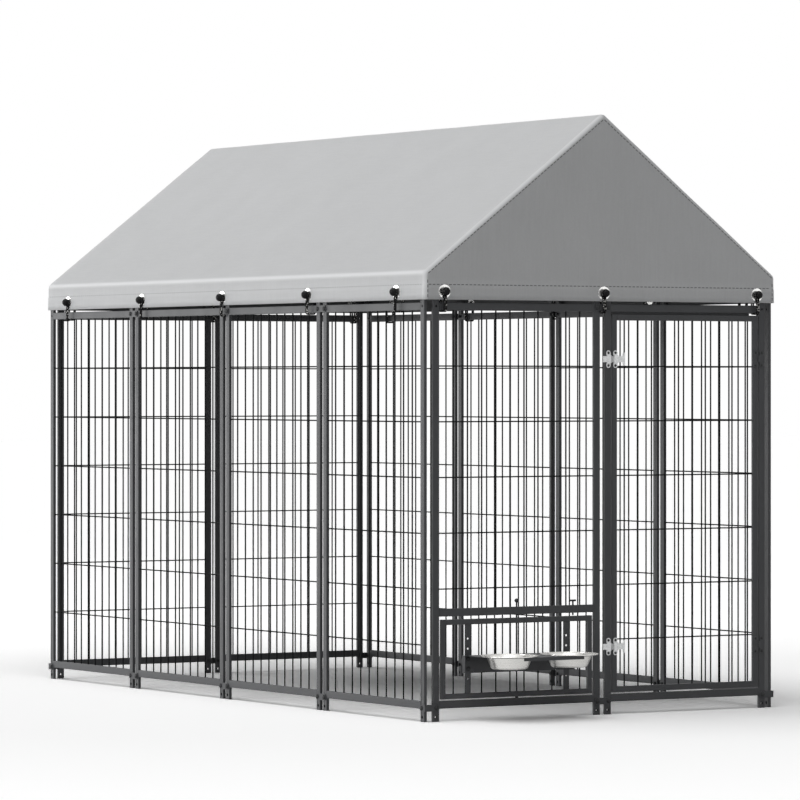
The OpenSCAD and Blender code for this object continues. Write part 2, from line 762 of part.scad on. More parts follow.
module shelf_bolts() {
    color(trim_black) placed() for (s = [-1, 1], z = shelf_bolt_zs)
        translate([pivot_x + s * height_bar_x, 0, z]) {
            translate([0, -shelf_t, 0]) bolt(shelf_t + height_bar_t, nut_t + bolt_tail);
            translate([0, height_bar_t, 0]) nut();
        }
}

// Solid bowl shape down from Z = 0, with a straight side meeting a round foot.
module bowl_body(top_r, foot_r) {
    foot_z = bowl_foot_r - bowl_h;
    reach = norm([top_r - base_r, foot_z]);
    turn = atan2(-foot_z, top_r - base_r) - acos(foot_r / reach);
    union() {
        rotate_extrude($fn = 96) polygon([
            [0, 0], [top_r, 0],
            [base_r + foot_r * cos(turn), foot_z + foot_r * sin(turn)],
            [0, foot_z + foot_r * sin(turn)]
        ]);
        translate([0, 0, foot_z]) rotate_extrude($fn = 96) translate([base_r, 0]) circle(foot_r);
        translate([0, 0, foot_z - foot_r]) cylinder(r = base_r, h = 2 * foot_r, $fn = 96);
    }
}

// Spun bowl: a level rim with a rolled edge, a sloping side and a flat base.
module bowl(side) {
    spot = [pivot_x + side * bowl_x, -bowl_out, shelf_top + bowl_t];
    color(bowl_steel) placed() translate(spot) difference() {
        union() {
            bowl_body(bowl_r, bowl_foot_r);
            translate([0, 0, -bowl_t]) cylinder(r = rim_r - rim_roll, h = bowl_t, $fn = 96);
            translate([0, 0, rim_roll - 0.9 * bowl_t]) rotate_extrude($fn = 96)
                translate([rim_r - rim_roll, 0]) circle(rim_roll);
        }
        bowl_body(bowl_r - bowl_t, bowl_foot_r - bowl_t);
    }
}

// Long rod that the hatch turns on, with a ball to lift it by.
module pivot_rod() {
    knob_z = mid_rail_top + knob_rise;
    foot_z = low_rail_top - tube_wall - rod_tail;
    color(trim_black) placed() translate([pivot_x, pivot_y, 0]) {
        translate([0, 0, foot_z]) cylinder(d = rod_d, h = knob_z - foot_z);
        translate([0, 0, knob_z]) sphere(d = knob_d);
    }
}

module pivot_washer() {
    color(trim_black) placed() translate([pivot_x, pivot_y, low_rail_top + weld_gap]) difference() {
        cylinder(d = tube_d - tube_wall, h = hatch_low_gap - 2 * weld_gap);
        translate([0, 0, -cut]) cylinder(r = rod_bore_r, h = hatch_low_gap + 2 * cut);
    }
}

// T pin that drops through the rail into the hatch to hold it square; drawn raised.
module lock_pin() {
    bar_z = mid_rail_top + lock_rise;
    color(trim_black) placed() translate([pivot_x + lock_x, pivot_y, 0]) {
        translate([0, 0, lock_tip]) cylinder(d = lock_d, h = bar_z - lock_tip);
        translate([-lock_bar / 2, 0, bar_z]) rotate([0, 90, 0]) cylinder(d = lock_bar_d, h = lock_bar);
    }
}

// Link plate with round ends across two neighbouring stiles.
module link_plate(z) {
    r = plate_h / 2;
    difference() {
        translate([0, 0, z]) rotate([90, 0, 0]) linear_extrude(plate_t) union() {
            translate([-joint_reach, -r]) square([2 * joint_reach, plate_h]);
            for (s = [-1, 1]) translate([s * joint_reach, 0]) circle(r);
        }
        for (s = [-1, 1]) drill_y(s * joint_reach, z, bolt_hole_r, -plate_t - cut, cut);
    }
}

module foot_link_plates() {
    color(steel_grey) placed() for (p = joint_places) at_place(p) link_plate(low_joint_z);
}

module top_link_plates() {
    color(steel_grey) placed() for (p = joint_places) at_place(p) link_plate(top_joint_z);
}

// One leg of the corner bracket, from the corner to a round end on a bolt.
module bracket_leg(reach) {
    r = plate_h / 2;
    linear_extrude(plate_t) union() {
        translate([-plate_t, -r]) square([reach + plate_t, plate_h]);
        translate([reach, 0]) circle(r);
    }
}

// Angle bracket round the outside of a corner at the feet.
module corner_foot_brackets() {
    color(steel_grey) placed() at_corners() translate([0, 0, low_joint_z]) difference() {
        union() {
            rotate([90, 0, 0]) bracket_leg(stile_mid_end);
            translate([-plate_t, 0, 0]) rotate([90, 0, 90]) bracket_leg(stile_mid_side);
        }
        drill_y(stile_mid_end, 0, bolt_hole_r, -plate_t - cut, cut);
        translate([-plate_t - cut, stile_mid_side, 0]) rotate([0, 90, 0])
            cylinder(r = bolt_hole_r, h = plate_t + 2 * cut);
    }
}

module wall_bolt(inner) {
    translate([0, inner ? 0 : -plate_t, 0]) bolt(tube_d + plate_t, nut_t + bolt_tail);
}

module wall_nut(inner) {
    translate([0, tube_d + (inner ? plate_t : 0), 0]) nut();
}

// Repeats a fastener at every bolted joint of the walls and of the roof brackets.
module at_wall_bolts() {
    for (p = joint_places, s = [-1, 1], z = [low_joint_z, top_joint_z])
        at_place(p) translate([s * joint_reach, 0, z]) children(0);
    at_corners() {
        translate([stile_mid_end, 0, low_joint_z]) children(0);
        translate([0, stile_mid_side, low_joint_z]) rotate([0, 0, -90]) children(0);
        translate([stile_mid_end, 0, roof_bolt_z]) children(1);
        translate([0, stile_mid_side, roof_bolt_z]) rotate([0, 0, -90]) children(1);
    }
    for (x = [0, 1], s = [-1, 1]) at_place([x * kennel_w, kennel_l / 2, x * 180 - 90])
        translate([s * joint_reach, 0, roof_bolt_z]) children(1);
}

module joint_bolts() {
    color(trim_black) placed() at_wall_bolts() {
        wall_bolt(false);
        wall_bolt(true);
    }
}

module joint_nuts() {
    color(trim_black) placed() at_wall_bolts() {
        wall_nut(false);
        wall_nut(true);
    }
}

// Pole along Y from a hub at y0 to a hub at y1.
module level_pole(x, z, y0, y1) {
    translate([x, y0 + pole_start, z]) rotate([-90, 0, 0]) difference() {
        cylinder(r = pole_r, h = y1 - y0 - 2 * pole_start);
        translate([0, 0, -cut]) cylinder(r = pole_r - pole_wall, h = y1 - y0 + 2 * cut);
    }
}

module pole_row(x, z) {
    color(pole_grey) placed() for (i = [0, 1]) level_pole(x, z, roof_ys[i], roof_ys[i + 1]);
}

module left_eave_poles() {
    pole_row(hub_x, hub_eave_z);
}

module right_eave_poles() {
    pole_row(kennel_w - hub_x, hub_eave_z);
}

module ridge_poles() {
    pole_row(kennel_w / 2, hub_ridge_z);
}

// A pair of rafters from the eaves to the ridge.
module rafters(i) {
    ridge = [kennel_w / 2, roof_ys[i], hub_ridge_z];
    turn = [0, 90 + slope_a, 0];
    color(pole_grey) placed() translate(ridge) for (s = [0, 1]) mirror([s, 0, 0])
        rotate(turn) translate([0, 0, pole_start]) difference() {
            cylinder(r = pole_r, h = rafter_l - 2 * pole_start);
            translate([0, 0, -cut]) cylinder(r = pole_r - pole_wall, h = rafter_l);
        }
}

// Hub with a blind socket along each listed direction, turned from the upright.
module hub(turns) {
    difference() {
        union() {
            sphere(hub_r);
            for (t = turns) rotate(t) cylinder(r = socket_r, h = socket_l);
        }
        for (t = turns) rotate(t) translate([0, 0, pole_start])
            cylinder(r = pole_r + pole_clear, h = socket_l);
    }
}

module ridge_hubs() {
    rafter_turns = [[0, 90 + slope_a, 0], [0, -90 - slope_a, 0]];
    color(trim_black) placed() for (i = [0 : 2]) translate([kennel_w / 2, roof_ys[i], hub_ridge_z])
        hub(concat(rafter_turns, i < 2 ? [[-90, 0, 0]] : [], i > 0 ? [[90, 0, 0]] : []));
}

// Corner bracket: an angle bolted inside two stiles, carrying the eave hub.
module corner_eave_bracket() {
    leg_h = leg_top - leg_z;
    union() {
        difference() {
            union() {
                translate([tube_d, tube_d, leg_z])
                    cube([stile_mid_end + stile_w / 2 - tube_d, plate_t, leg_h]);
                translate([tube_d, tube_d, leg_z]) cube([plate_t, stile_w, leg_h]);
                translate([tube_d, tube_d, leg_top - cut]) cube([plate_t, stile_w / 2, hub_eave_z - leg_top]);
                translate([tube_d, tube_d, leg_top - cut]) cube([stile_w / 2, plate_t, hub_eave_z - leg_top]);
            }
            drill_y(stile_mid_end, roof_bolt_z, bolt_hole_r, tube_d - cut, tube_d + plate_t + cut);
            translate([tube_d - cut, stile_mid_side, roof_bolt_z]) rotate([0, 90, 0])
                cylinder(r = bolt_hole_r, h = plate_t + 2 * cut);
            translate([tube_d + plate_t, tube_d - cut, leg_z - cut])
                cube([nut_t + nut_room, plate_t + 2 * cut, roof_bolt_z + nut_d / 2 + 2 * cut - leg_z]);
            translate([hub_x, hub_x, hub_eave_z]) sphere(socket_r);
        }
        translate([hub_x, hub_x, hub_eave_z]) hub([[-90, 0, 0], [0, 90 - slope_a, 0]]);
    }
}

// Middle bracket: a forked plate bolted inside two stiles, carrying the eave hub.
module middle_eave_bracket() {
    reach = joint_reach + stile_w / 2;
    union() {
        difference() {
            union() {
                translate([tube_d, -reach, leg_z]) cube([plate_t, 2 * reach, leg_top + fork_web - leg_z]);
                translate([tube_d, -stile_w / 2, leg_top])
                    cube([plate_t, stile_w, hub_eave_z - leg_top - 2 * cut]);
            }
            translate([tube_d - cut, -panel_gap / 2, leg_z - cut])
                cube([plate_t + 2 * cut, panel_gap, leg_top - leg_z + cut]);
            for (s = [-1, 1]) translate([tube_d - cut, s * joint_reach, roof_bolt_z]) rotate([0, 90, 0])
                cylinder(r = bolt_hole_r, h = plate_t + 2 * cut);
            translate([hub_x, 0, hub_eave_z]) sphere(socket_r);
        }
        translate([hub_x, 0, hub_eave_z]) hub([[-90, 0, 0], [90, 0, 0], [0, 90 - slope_a, 0]]);
    }
}

module corner_eave_brackets() {
    color(trim_black) placed() at_corners() corner_eave_bracket();
}

module middle_eave_brackets() {
    color(trim_black) placed() for (s = [0, 1]) translate([s * kennel_w, kennel_l / 2, 0]) mirror([s, 0, 0])
        middle_eave_bracket();
}

// Eyelet holes through the skirt of one pair of walls.
module skirt_holes(turned) {
    for (p = cord_places) if ((abs(p[2]) == 90) == turned) at_place(p)
        drill_y(0, eyelet_z, eyelet_hole_r, -overhang - cut, cut - overhang + cover_t);
}

// Sewn cover: two roof slopes, two side skirts and two gables that run down to the hem.
module roof_cover() {
    half = kennel_w / 2;
    inner_eave_z = eave_z + cover_t * slope_tan - skin_drop;
    run_y = cover_t - overhang + weld_gap;
    run_l = kennel_l - 2 * run_y;
    color(fabric_grey) placed() {
        for (s = [0, 1]) translate([half, 0, 0]) mirror([s, 0, 0]) translate([-half, run_l + run_y, 0])
            rotate([90, 0, 0]) linear_extrude(run_l) polygon([
                [-overhang, eave_z + weld_gap], [cover_t - overhang, inner_eave_z + weld_gap],
                [half - weld_gap, ridge_z - skin_drop], [half - weld_gap, ridge_z]
            ]);
        difference() {
            for (s = [0, 1]) translate([half, 0, 0]) mirror([s, 0, 0]) translate([-half, run_l + run_y, 0])
                rotate([90, 0, 0]) linear_extrude(run_l) polygon([
                    [-overhang, hem_z], [cover_t - overhang, hem_z],
                    [cover_t - overhang, inner_eave_z], [-overhang, eave_z]
                ]);
            skirt_holes(true);
        }
        difference() {
            for (y = [cover_t - overhang, kennel_l + overhang]) translate([half, y, 0])
                rotate([90, 0, 0]) linear_extrude(cover_t) polygon([
                    [-half - overhang, hem_z], [half + overhang, hem_z], [half + overhang, eave_z],
                    [0, ridge_z], [-half - overhang, eave_z]
                ]);
            skirt_holes(false);
        }
    }
}

// Pressed eyelet: a barrel through the skirt with a flange on each face.
module eyelet() {
    rotate([90, 0, 0]) rotate_extrude() union() {
        translate([eyelet_bore_r, overhang - cover_t - eyelet_t]) square([eyelet_t, cover_t + 2 * eyelet_t]);
        translate([eyelet_bore_r, overhang + weld_gap])
            square([eyelet_r - eyelet_bore_r, eyelet_t - weld_gap]);
        translate([eyelet_bore_r, overhang - cover_t - eyelet_t])
            square([eyelet_r - eyelet_bore_r, eyelet_t - weld_gap]);
    }
}

module eyelets() {
    color(zinc_grey) placed() for (p = cord_places) at_place(p) translate([0, 0, eyelet_z]) eyelet();
}

module cord_run(y, z, turn, l) {
    translate([0, y, z]) rotate(turn) cylinder(r = cord_r, h = l, $fn = 24);
}

// Quarter bend of the cord in the upright plane, from its start angle.
module cord_corner(y, z, start) {
    translate([0, y, z]) rotate([90, 0, 90]) rotate(start) rotate_extrude(angle = 90, $fn = 24)
        translate([cord_bend, 0]) circle(cord_r, $fn = 24);
}

// One strand: down in front of the skirt, under the rail, up behind it and out through the eyelet.
module strand() {
    front_y = -cord_front;
    back_y = cord_back;
    bend_z = cord_low_z + cord_bend;
    union() {
        cord_run(front_y, bend_z, [0, 0, 0], eyelet_z - bend_z - ball_r / 3);
        cord_corner(front_y + cord_bend, bend_z, 180);
        cord_run(front_y + cord_bend, cord_low_z, [-90, 0, 0], back_y - front_y - 2 * cord_bend);
        cord_corner(back_y - cord_bend, bend_z, 270);
        cord_run(back_y, bend_z, [0, 0, 0], eyelet_z - cord_bend - bend_z);
        cord_corner(back_y - cord_bend, eyelet_z - cord_bend, 0);
        cord_run(back_y - cord_bend, eyelet_z, [90, 0, 0], back_y - cord_bend + ball_out);
    }
}

module cords() {
    color(trim_black) placed() for (p = cord_places, s = [-1, 1]) at_place(p)
        translate([s * strand_pitch / 2, 0, 0]) strand();
}

module cord_balls() {
    color(trim_black) placed() for (p = cord_places) at_place(p)
        translate([0, -ball_out, eyelet_z]) sphere(ball_r);
}

left_wall_panel(1);  // left_panel_1
left_wall_panel(2);  // left_panel_2
left_wall_panel(3);  // left_panel_3
left_wall_panel(4);  // left_panel_4
right_wall_panel(1);  // right_panel_1
right_wall_panel(2);  // right_panel_2
right_wall_panel(3);  // right_panel_3
right_wall_panel(4);  // right_panel_4
back_wall_panel(1);  // back_panel_1
back_wall_panel(2);  // back_panel_2
feeder_panel();
door_frame();
door_leaf();
placed_hinge_leaf(low_hinge_z, 1);  // lower_hinge_frame_leaf
placed_hinge_leaf(low_hinge_z, -1);  // lower_hinge_door_leaf
placed_hinge_leaf(high_hinge_z, 1);  // upper_hinge_frame_leaf
placed_hinge_leaf(high_hinge_z, -1);  // upper_hinge_door_leaf
hinge_pins();
latch_keeper(low_latch_z);  // lower_latch_keeper
latch_guide(low_latch_z);  // lower_latch_guide
latch_bolt(low_latch_z);  // lower_latch_bolt
latch_keeper(high_latch_z);  // upper_latch_keeper
latch_guide(high_latch_z);  // upper_latch_guide
latch_bolt(high_latch_z);  // upper_latch_bolt
frame_screws();
door_screws();
hatch_frame();
height_bar(-1);  // left_height_bar
height_bar(1);  // right_height_bar
bowl_shelf();
shelf_bolts();
bowl(-1);  // left_bowl
bowl(1);  // right_bowl
pivot_rod();
pivot_washer();
lock_pin();
foot_link_plates();
top_link_plates();
corner_foot_brackets();
joint_bolts();
joint_nuts();
left_eave_poles();
right_eave_poles();
ridge_poles();
rafters(0);  // front_rafters
rafters(1);  // middle_rafters
rafters(2);  // back_rafters
ridge_hubs();
corner_eave_brackets();
middle_eave_brackets();
roof_cover();
eyelets();
cords();
cord_balls();
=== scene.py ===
# %% [markdown]
# # An outdoor kennel run, dressed for the picture
# The steel run, its door, its bowl hatch and its roof poles come from the packed
# CAD model and keep their exact shapes. This lesson gives them their finishes and
# sews the soft part, the grey roof cover, over the poles.

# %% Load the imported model
import json
import math

import bmesh
import bpy
from mathutils import Matrix, Vector, noise

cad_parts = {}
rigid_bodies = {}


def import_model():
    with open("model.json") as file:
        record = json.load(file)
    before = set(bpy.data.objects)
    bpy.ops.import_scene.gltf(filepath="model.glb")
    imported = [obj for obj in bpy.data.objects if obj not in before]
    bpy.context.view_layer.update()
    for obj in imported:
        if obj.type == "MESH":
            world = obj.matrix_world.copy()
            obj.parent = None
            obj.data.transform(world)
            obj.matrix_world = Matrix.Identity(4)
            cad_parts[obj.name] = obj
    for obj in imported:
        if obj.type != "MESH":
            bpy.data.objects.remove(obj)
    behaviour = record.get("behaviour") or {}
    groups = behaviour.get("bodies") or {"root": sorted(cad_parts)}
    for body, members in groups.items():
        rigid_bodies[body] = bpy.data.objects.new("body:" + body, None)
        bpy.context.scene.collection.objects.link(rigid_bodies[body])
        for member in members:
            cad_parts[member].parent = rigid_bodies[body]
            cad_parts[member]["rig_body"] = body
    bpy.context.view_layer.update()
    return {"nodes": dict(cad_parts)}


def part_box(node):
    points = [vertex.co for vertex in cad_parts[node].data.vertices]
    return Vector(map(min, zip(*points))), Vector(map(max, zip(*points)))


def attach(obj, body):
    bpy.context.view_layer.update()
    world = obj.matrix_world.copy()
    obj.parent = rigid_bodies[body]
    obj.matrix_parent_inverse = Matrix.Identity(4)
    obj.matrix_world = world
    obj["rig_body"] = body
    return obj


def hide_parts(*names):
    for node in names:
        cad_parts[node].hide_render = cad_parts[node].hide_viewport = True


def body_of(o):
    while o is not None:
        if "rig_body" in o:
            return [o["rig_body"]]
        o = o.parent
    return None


for leftover in list(bpy.data.objects):
    bpy.data.objects.remove(leftover)

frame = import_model()
nodes = frame["nodes"]
MM = 0.001

# %% [markdown]
# ## Camera
# The picture is a level telephoto view of the front left corner. Upright tubes stay
# upright in it, so the camera is level, and a small shift lowers the frame instead of
# a tilt. The focal length and the place come from fitting the panel joints.

# %% Camera
PICTURE_PX = 800
SENSOR_MM = 36
focal_px = 4725
horizon_px = 384
look_deg = 31.23
stand = (-7.803, -12.818, 0.984)
view_limit = 200

camera_data = bpy.data.cameras.new("picture_camera")
camera_data.sensor_width = SENSOR_MM
camera_data.lens = focal_px * SENSOR_MM / PICTURE_PX
camera_data.shift_y = (horizon_px - PICTURE_PX / 2) / PICTURE_PX
camera_data.clip_end = view_limit
camera = bpy.data.objects.new("picture_camera", camera_data)
camera.location = stand
camera.rotation_euler = (math.radians(90), 0, math.radians(-look_deg))
bpy.context.scene.collection.objects.link(camera)
bpy.context.scene.camera = camera
print("lens", round(camera_data.lens, 1), "mm")

# %% [markdown]
# ## Colour and node helpers
# Colours are written as the sRGB hex values a designer reads off a swatch, and one
# function turns them to the linear values that Cycles works in. One more function
# adds a shader node with its settings and links, so each finish reads as a list.

# %% Helpers for finishes
def linear(hex_colour):
    """Linear RGBA of an sRGB hex colour."""
    parts = [int(hex_colour[i:i + 2], 16) / 255 for i in (1, 3, 5)]
    return [c / 12.92 if c <= 0.04045 else ((c + 0.055) / 1.055) ** 2.4
            for c in parts] + [1.0]


def add(tree, kind, inputs=None, **settings):
    """Adds a node, sets its properties, and fills its inputs with values or links."""
    made = tree.nodes.new(kind)
    for name, value in settings.items():
        setattr(made, name, value)
    for name, value in (inputs or {}).items():
        if isinstance(value, bpy.types.NodeSocket):
            tree.links.new(value, made.inputs[name])
        else:
            made.inputs[name].default_value = value
    return made


def finish(name):
    """An empty material with its node tree and the Object coordinates."""
    material = bpy.data.materials.new(name)
    material.use_nodes = True
    tree = material.node_tree
    tree.nodes.clear()
    place = add(tree, "ShaderNodeTexCoord").outputs["Object"]
    return material, tree, place


def close(tree, shader):
    """Joins the shader to the material's output."""
    add(tree, "ShaderNodeOutputMaterial", {"Surface": shader.outputs[0]})


def grains(size_mm):
    """Noise or Voronoi scale for features of a real size."""
    return 1 / (size_mm * MM)


def bands(period_mm):
    """Wave scale for lines a real distance apart."""
    return 2 * math.pi / (20 * period_mm * MM)


print("mid grey in linear light", round(linear("#808080")[0], 3))

# %% [markdown]
# ## Powder-coated steel
# The panels, plates and brackets are dark grey powder coat on steel tube. The powder
# flows out to a faint orange peel, about 2 mm across, which breaks up the gloss. Wide
# soft changes of tone stand for uneven film and dust, as one even grey would look
# like plastic. The thin bars and wires get a darker, duller copy of the coat, and
# their darker colour is painted shade. Bolts, screws and the pivot rod are a darker,
# blackened steel.

# %% Powder coat
film_mm = 90
peel_mm = 2.2


def powder_coat(name, dark, light, rough, shine):
    material, tree, place = finish(name)
    film = add(tree, "ShaderNodeTexNoise", {
        "Vector": place, "Scale": grains(film_mm), "Detail": 5.0})
    tone = add(tree, "ShaderNodeValToRGB", {"Fac": film.outputs["Fac"]})
    tone.color_ramp.elements[0].position = 0.3
    tone.color_ramp.elements[0].color = linear(dark)
    tone.color_ramp.elements[1].position = 0.7
    tone.color_ramp.elements[1].color = linear(light)
    peel = add(tree, "ShaderNodeTexNoise", {
        "Vector": place, "Scale": grains(peel_mm), "Detail": 2.0})
    gloss = add(tree, "ShaderNodeMapRange", {
        "Value": film.outputs["Fac"], "From Min": 0.3, "From Max": 0.7,
        "To Min": rough - 0.05, "To Max": rough + 0.07})
    bump = add(tree, "ShaderNodeBump", {
        "Height": peel.outputs["Fac"], "Strength": 0.25, "Distance": 0.2 * MM})
    close(tree, add(tree, "ShaderNodeBsdfPrincipled", {
        "Base Color": tone.outputs["Color"], "Roughness": gloss.outputs[0], "IOR": 1.5,
        "Specular IOR Level": shine, "Normal": bump.outputs["Normal"]}))
    return material


coated_steel = powder_coat("powder_coated_steel", "#434446", "#4a4b4d", 0.42, 0.25)
# The near-black colour of the wire coat is painted shade.
wire_coat_painted_shade = powder_coat("powder_coat_wire_painted_shade", "#141516", "#1b1c1d", 0.6, 0.06)
black_steel = powder_coat("blackened_steel", "#262728", "#303132", 0.5, 0.25)
print("made", coated_steel.name, wire_coat_painted_shade.name, black_steel.name)

# %% [markdown]
# ## Zinc, tube and spun steel
# The latches are zinc plated: a pale metal with a cloudy, slightly uneven gloss. The
# roof poles are galvanised tube, duller, with the flat crystals of hot dipping. The
# eyelets are nickel plated, brighter than the rest. The bowls are spun stainless
# steel, so their fine scratches run in rings round each bowl.

# %% Plated metals
cloud_mm = 12


def cloudy_metal(name, dark, light, rough, crystal_mm):
    material, tree, place = finish(name)
    crystals = add(tree, "ShaderNodeTexVoronoi", {
        "Vector": place, "Scale": grains(crystal_mm)})
    shade = add(tree, "ShaderNodeSeparateColor", {"Color": crystals.outputs["Color"]})
    tone = add(tree, "ShaderNodeValToRGB", {"Fac": shade.outputs["Red"]})
    tone.color_ramp.elements[0].color = linear(dark)
    tone.color_ramp.elements[1].color = linear(light)
    clouds = add(tree, "ShaderNodeTexNoise", {
        "Vector": place, "Scale": grains(cloud_mm), "Detail": 4.0})
    gloss = add(tree, "ShaderNodeMapRange", {
        "Value": clouds.outputs["Fac"], "From Min": 0.3, "From Max": 0.7,
        "To Min": rough - 0.08, "To Max": rough + 0.1})
    bump = add(tree, "ShaderNodeBump", {
        "Height": clouds.outputs["Fac"], "Strength": 0.15, "Distance": 0.2 * MM})
    close(tree, add(tree, "ShaderNodeBsdfPrincipled", {
        "Base Color": tone.outputs["Color"], "Metallic": 1.0, "Roughness": gloss.outputs[0],
        "Normal": bump.outputs["Normal"]}))
    return material


zinc_plate = cloudy_metal("zinc_plated_steel", "#b4b5b6", "#cccdcd", 0.45, 3)
pole_steel = cloudy_metal("galvanised_tube", "#8d9092", "#a9abac", 0.5, 14)
eyelet_plate = cloudy_metal("nickel_plated_brass", "#eeeeec", "#fafaf8", 0.25, 4)
print("made", zinc_plate.name, pole_steel.name, eyelet_plate.name)


# %% Spun stainless steel
ring_mm = 1.6
smear_mm = 30


def spun_steel(name, centre):
    material, tree, place = finish(name)
    centred = add(tree, "ShaderNodeMapping", {
        "Vector": place, "Location": [-c for c in centre]})
    rings = add(tree, "ShaderNodeTexWave", {
        "Vector": centred.outputs["Vector"], "Scale": bands(ring_mm), "Distortion": 1.5,
        "Detail": 2.0}, wave_type="RINGS", rings_direction="Z")
    smears = add(tree, "ShaderNodeTexNoise", {
        "Vector": place, "Scale": grains(smear_mm), "Detail": 3.0})
    tone = add(tree, "ShaderNodeValToRGB", {"Fac": smears.outputs["Fac"]})
    tone.color_ramp.elements[0].color = linear("#d2d1ce")
    tone.color_ramp.elements[1].color = linear("#deddda")
    gloss = add(tree, "ShaderNodeMapRange", {
        "Value": rings.outputs["Fac"], "To Min": 0.24, "To Max": 0.36})
    bump = add(tree, "ShaderNodeBump", {
        "Height": rings.outputs["Fac"], "Strength": 0.1, "Distance": 0.05 * MM})
    close(tree, add(tree, "ShaderNodeBsdfPrincipled", {
        "Base Color": tone.outputs["Color"], "Metallic": 1.0, "Roughness": gloss.outputs[0],
        "Normal": bump.outputs["Normal"]}))
    return material


def middle(node):
    """The centre of a CAD node's box."""
    low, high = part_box(node)
    return (Vector(low) + Vector(high)) / 2


bowl_finish = {name: spun_steel("spun_stainless_" + name, middle(name))
               for name in ("left_bowl", "right_bowl")}
print("made", [m.name for m in bowl_finish.values()])

# %% [markdown]
# ## Plastic balls and braided cord
# Each ball is moulded black plastic with a soft gloss. The cord is a black braid
# over rubber, with pale tracer threads that show as flecks a few millimetres across.

# %% Black plastic and braid
skin_mm = 3
fleck_mm = 7
braid_mm = 1.8


def moulded_plastic(name):
    material, tree, place = finish(name)
    skin = add(tree, "ShaderNodeTexNoise", {
        "Vector": place, "Scale": grains(skin_mm), "Detail": 3.0})
    tone = add(tree, "ShaderNodeValToRGB", {"Fac": skin.outputs["Fac"]})
    tone.color_ramp.elements[0].color = linear("#0f0f10")
    tone.color_ramp.elements[1].color = linear("#19191a")
    bump = add(tree, "ShaderNodeBump", {
        "Height": skin.outputs["Fac"], "Strength": 0.1, "Distance": 0.1 * MM})
    close(tree, add(tree, "ShaderNodeBsdfPrincipled", {
        "Base Color": tone.outputs["Color"], "Roughness": 0.18, "Specular IOR Level": 0.1,
        "Normal": bump.outputs["Normal"]}))
    return material


def braided_cord(name):
    material, tree, place = finish(name)
    flecks = add(tree, "ShaderNodeTexVoronoi", {
        "Vector": place, "Scale": grains(fleck_mm), "Randomness": 0.7})
    braid = add(tree, "ShaderNodeTexWave", {
        "Vector": place, "Scale": bands(braid_mm), "Distortion": 2.0},
        bands_direction="DIAGONAL")
    tone = add(tree, "ShaderNodeValToRGB", {"Fac": flecks.outputs["Distance"]})
    tone.color_ramp.elements[0].position = 0.30
    tone.color_ramp.elements[0].color = linear("#d9d8d4")
    tone.color_ramp.elements[1].position = 0.36
    tone.color_ramp.elements[1].color = linear("#161617")
    bump = add(tree, "ShaderNodeBump", {
        "Height": braid.outputs["Fac"], "Strength": 0.6, "Distance": 0.4 * MM})
    close(tree, add(tree, "ShaderNodeBsdfPrincipled", {
        "Base Color": tone.outputs["Color"], "Roughness": 0.8, "Specular IOR Level": 0.1,
        "Normal": bump.outputs["Normal"]}))
    return material


black_plastic = moulded_plastic("moulded_black_plastic")
cord_braid = braided_cord("braided_elastic_cord")
print("made", black_plastic.name, cord_braid.name)

# %% [markdown]
# ## Woven polyester
# The cover is coated polyester canvas. Its threads are about 0.5 mm apart, too fine
# for the picture, so the weave is drawn 1.5 mm apart. Faint streaks along the threads
# and soft clouds of tone are what the eye reads as cloth from a few metres away. The
# canvas is painted paler along the folds, a painted highlight, which the sheet marks with
# its own attribute.
# The inside is coloured dark, as painted shade.

# %% Canvas
tone_mm = 160
slub_mm = 5
weave_mm = 1.5
along_yarn = 0.06


def canvas(name, dark, light, fold_highlight_colour):
    material, tree, place = finish(name)
    clouds = add(tree, "ShaderNodeTexNoise", {
        "Vector": place, "Scale": grains(tone_mm), "Detail": 6.0})
    mixed = clouds.outputs["Fac"]
    for stretch in ((1.0, along_yarn, 1.0), (1.0, 1.0, along_yarn)):
        yarn = add(tree, "ShaderNodeMapping", {"Vector": place, "Scale": stretch})
        slubs = add(tree, "ShaderNodeTexNoise", {
            "Vector": yarn.outputs["Vector"], "Scale": grains(slub_mm), "Detail": 2.0})
        mixed = add(tree, "ShaderNodeMath", {
            0: mixed, 1: slubs.outputs["Fac"]}, operation="ADD").outputs[0]
    tone = add(tree, "ShaderNodeMapRange", {
        "Value": mixed, "From Min": 1.1, "From Max": 1.9})
    colour = add(tree, "ShaderNodeValToRGB", {"Fac": tone.outputs[0]})
    colour.color_ramp.elements[0].color = linear(dark)
    colour.color_ramp.elements[1].color = linear(light)
    # Paler colour along the folds, a painted highlight.
    fold = add(tree, "ShaderNodeAttribute", attribute_name="fold")
    fold_highlighted = add(tree, "ShaderNodeMix", {
        "Factor": fold.outputs["Fac"], 6: colour.outputs["Color"], 7: linear(fold_highlight_colour)},
        data_type="RGBA")
    threads = None
    for direction in "XYZ":
        lines = add(tree, "ShaderNodeTexWave", {
            "Vector": place, "Scale": bands(weave_mm), "Distortion": 0.4},
            bands_direction=direction).outputs["Fac"]
        threads = lines if threads is None else add(
            tree, "ShaderNodeMath", {0: threads, 1: lines}, operation="ADD").outputs[0]
    weave = add(tree, "ShaderNodeBump", {
        "Height": threads, "Strength": 0.2, "Distance": 0.15 * MM})
    folds = add(tree, "ShaderNodeBump", {
        "Height": clouds.outputs["Fac"], "Strength": 0.1, "Distance": 4 * MM,
        "Normal": weave.outputs["Normal"]})
    close(tree, add(tree, "ShaderNodeBsdfPrincipled", {
        "Base Color": fold_highlighted.outputs[2], "Roughness": 0.8, "Sheen Weight": 0.1,
        "Normal": folds.outputs["Normal"]}))
    return material


# The last colour of each canvas is its painted highlight along the folds.
cover_canvas = canvas("woven_polyester_canvas", "#bcbdbe", "#c2c3c4", "#d8d9da")
# The dark canvas for the inside of the cover is painted shade.
inner_canvas_painted_shade = canvas("canvas_inside_painted_shade", "#3a3b3c", "#434445", "#464748")
print("made", cover_canvas.name, inner_canvas_painted_shade.name)

